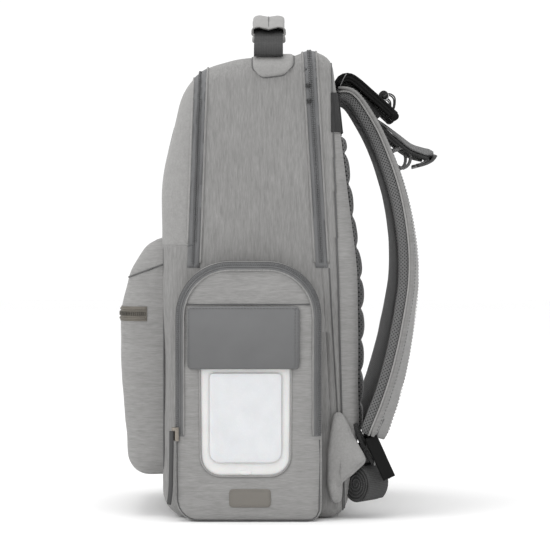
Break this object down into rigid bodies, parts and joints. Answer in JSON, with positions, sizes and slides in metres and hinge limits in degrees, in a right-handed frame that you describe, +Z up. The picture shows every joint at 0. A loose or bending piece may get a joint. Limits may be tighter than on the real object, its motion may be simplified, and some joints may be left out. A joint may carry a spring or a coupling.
{
  "type": "diaper bag",
  "caption": "Upright diaper backpack with a zipped front lid, front pocket, wipes window pocket, bottle pocket, carry handle and padded shoulder straps.",
  "frame": {"origin": "on the ground under the middle of the base", "axes": "+Z up, +Y towards the wearer's back (shoulder straps), +X the wearer's right"},
  "size_m": [0.3129, 0.3113, 0.484],
  "materials": {
    "black_plastic": "satin",
    "black_webbing": "satin",
    "dark_webbing": "satin",
    "heather_fabric": "satin",
    "inner_board": "matte",
    "mesh_fabric": "matte",
    "metal": "satin",
    "patch": "satin",
    "smooth_flap": "satin",
    "taupe_label": "satin",
    "taupe_tape": "matte",
    "white_plastic": "gloss",
    "zip_tape": "matte"
  },
  "bodies": {
    "bag": {"back_mesh": "mesh_fabric", "back_panel": "heather_fabric", "back_stiffener": "inner_board", "base_board": "inner_board", "bottle_pocket": "heather_fabric", "bottle_pocket_hem": "zip_tape", "clip_roll_left": "metal", "clip_roll_right": "metal", "front_label": "patch", "front_pocket": "heather_fabric", "front_pocket_zip": "taupe_tape", "handle_anchors": "heather_fabric", "lower_webbing_left": "dark_webbing", "lower_webbing_right": "dark_webbing", "main_shell": "heather_fabric", "main_zip_rear": "zip_tape", "rear_compartment": "heather_fabric", "rear_zip": "zip_tape", "shoulder_strap_left": "heather_fabric", "shoulder_strap_right": "heather_fabric", "strap_mesh_left": "mesh_fabric", "strap_mesh_right": "mesh_fabric", "strap_yoke": "dark_webbing", "stroller_strap_left": "black_webbing", "stroller_strap_right": "black_webbing", "webbing_roll_left": "dark_webbing", "webbing_roll_right": "dark_webbing", "wing_left": "heather_fabric", "wing_right": "heather_fabric", "wipes_case": "white_plastic", "wipes_label": "taupe_label", "wipes_pocket": "heather_fabric", "wipes_pocket_zip": "zip_tape"},
    "lid": {"front_lid": "heather_fabric", "main_zip_front": "zip_tape", "front_patch": "patch"},
    "handle": {"handle_webbing": "dark_webbing", "handle_grip": "heather_fabric"},
    "flap": {"wipes_flap": "smooth_flap"},
    "case_lid": {"wipes_case_lid": "white_plastic"},
    "upper_slider": {"main_slider_upper": "metal"},
    "upper_pull": {"main_pull_upper": "patch"},
    "lower_slider": {"main_slider_lower": "metal"},
    "lower_pull": {"main_pull_lower": "patch"},
    "rear_slider_top": {"rear_slider_upper": "metal"},
    "rear_slider_low": {"rear_slider_lower": "metal"},
    "pocket_slider": {"front_pocket_slider": "metal"},
    "pocket_pull": {"front_pocket_pull": "taupe_label"},
    "side_slider": {"wipes_slider": "metal"},
    "side_pull": {"wipes_pull": "patch"},
    "ring_right": {"wire_ring_right": "metal"},
    "chest_strap_right": {"sternum_webbing_right": "dark_webbing", "sternum_clip_right": "black_plastic", "sternum_loop_right": "dark_webbing"},
    "lock_right": {"ladder_lock_right": "black_plastic"},
    "ring_left": {"wire_ring_left": "metal"},
    "chest_strap_left": {"sternum_webbing_left": "dark_webbing", "sternum_clip_left": "black_plastic", "sternum_loop_left": "dark_webbing"},
    "lock_left": {"ladder_lock_left": "black_plastic"}
  },
  "joints": [
    {"name": "lid_hinge", "type": "hinge", "parent": "bag", "child": "lid", "pos_m": [0, -0.0865, 0.272], "axis": [1, 0, 0], "range_deg": [0, 100]},
    {"name": "handle_flop", "type": "hinge", "parent": "bag", "child": "handle", "pos_m": [0, 0.0175, 0.449], "axis": [1, 0, 0], "range_deg": [-32, 32], "stiffness_Nm_per_rad": 0.25},
    {"name": "flap_hinge", "type": "hinge", "parent": "bag", "child": "flap", "pos_m": [0.1566, -0.006, 0.206], "axis": [0, -1, 0], "range_deg": [0, 150]},
    {"name": "case_lid_hinge", "type": "hinge", "parent": "bag", "child": "case_lid", "pos_m": [0.1543, -0.004, 0.1415], "axis": [0, -1, 0], "range_deg": [0, 85]},
    {"name": "main_slider_upper_slide", "type": "slide", "parent": "bag", "child": "upper_slider", "axis": [0, 0.037, 0.9993], "range_m": [0, 0.07]},
    {"name": "main_slider_lower_slide", "type": "slide", "parent": "bag", "child": "lower_slider", "axis": [0, -0.037, -0.9993], "range_m": [0, 0.035]},
    {"name": "main_pull_upper_swing", "type": "hinge", "parent": "upper_slider", "child": "upper_pull", "pos_m": [-0.134, -0.0507, 0.3485], "axis": [0, 1, 0], "range_deg": [0, 80]},
    {"name": "main_pull_lower_swing", "type": "hinge", "parent": "lower_slider", "child": "lower_pull", "pos_m": [-0.134, -0.05266, 0.2955], "axis": [0, 1, 0], "range_deg": [0, 80]},
    {"name": "rear_slider_upper_slide", "type": "slide", "parent": "bag", "child": "rear_slider_top", "axis": [0, -0.0579, 0.9983], "range_m": [0, 0.008]},
    {"name": "rear_slider_lower_slide", "type": "slide", "parent": "bag", "child": "rear_slider_low", "axis": [0, 0.0579, -0.9983], "range_m": [0, 0.14]},
    {"name": "pocket_slider_slide", "type": "slide", "parent": "bag", "child": "pocket_slider", "axis": [1, 0, 0], "range_m": [0, 0.168]},
    {"name": "pocket_pull_swing", "type": "hinge", "parent": "pocket_slider", "child": "pocket_pull", "pos_m": [-0.084, -0.132, 0.1985], "axis": [-1, 0, 0], "range_deg": [0, 80]},
    {"name": "side_slider_slide", "type": "slide", "parent": "bag", "child": "side_slider", "axis": [0, 0, 1], "range_m": [0, 0.1]},
    {"name": "side_pull_swing", "type": "hinge", "parent": "side_slider", "child": "side_pull", "pos_m": [0.15506, -0.0738, 0.0865], "axis": [-0.766, -0.6428, 0], "range_deg": [0, 80]},
    {"name": "ring_swing_right", "type": "hinge", "parent": "bag", "child": "ring_right", "pos_m": [0.05, 0.1295, 0.408], "axis": [1, 0, 0], "range_deg": [0, 70]},
    {"name": "chest_strap_slide_right", "type": "slide", "parent": "bag", "child": "chest_strap_right", "axis": [0, 0.5415, -0.8407], "range_m": [0, 0.02]},
    {"name": "lock_tilt_right", "type": "hinge", "parent": "bag", "child": "lock_right", "pos_m": [0.112, 0.1205, 0.076], "axis": [1, 0, 0], "range_deg": [0, 35]},
    {"name": "ring_swing_left", "type": "hinge", "parent": "bag", "child": "ring_left", "pos_m": [-0.05, 0.1295, 0.408], "axis": [1, 0, 0], "range_deg": [0, 70]},
    {"name": "chest_strap_slide_left", "type": "slide", "parent": "bag", "child": "chest_strap_left", "axis": [0, 0.5415, -0.8407], "range_m": [0, 0.02]},
    {"name": "lock_tilt_left", "type": "hinge", "parent": "bag", "child": "lock_left", "pos_m": [-0.112, 0.1205, 0.076], "axis": [1, 0, 0], "range_deg": [0, 35]}
  ]
}
